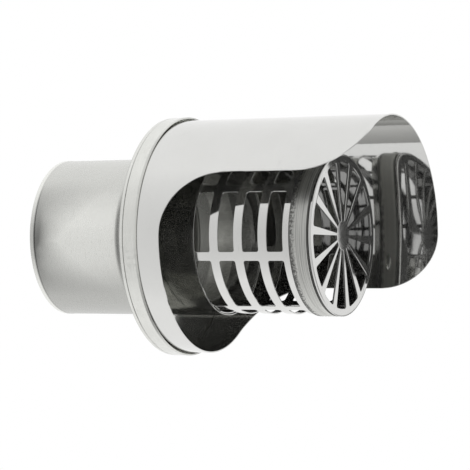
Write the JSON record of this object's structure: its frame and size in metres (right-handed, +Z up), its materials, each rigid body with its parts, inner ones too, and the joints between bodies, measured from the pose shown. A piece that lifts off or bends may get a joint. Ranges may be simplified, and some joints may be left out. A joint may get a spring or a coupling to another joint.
{
  "type": "flue terminal cowl",
  "caption": "Horizontal metal flue terminal: round spigot, back plate and collar, half-round rain hood with an open underside, and a slotted guard cage with a spoked end.",
  "frame": {"origin": "on the flue axis, in the plane of the back plate's wall face", "axes": "+X along the flue axis, away from the wall; +Z up, with the hood on top; +Y sideways"},
  "size_m": [0.1835, 0.1212, 0.1212],
  "materials": {
    "spigot_steel": "dull rolled stainless sheet, soft reflections",
    "plate_steel": "satin stainless sheet with a folded rim",
    "band_steel": "satin stainless strip, fine scuffs",
    "hood_steel": "bright annealed stainless sheet, near mirror",
    "cage_steel": "bright annealed stainless tube, near mirror",
    "ring_steel": "stainless strip brushed round its circumference",
    "grille_steel": "bright cut stainless sheet",
    "rivet_steel": "small domed steel rivet"
  },
  "bodies": {
    "root": {"spigot_pipe": "spigot_steel", "back_plate": "plate_steel", "collar_band": "band_steel", "rain_hood": "hood_steel", "guard_cage": "cage_steel", "cap_ring": "ring_steel", "end_grille": "grille_steel", "cap_rivet": "rivet_steel"}
  },
  "joints": []
}
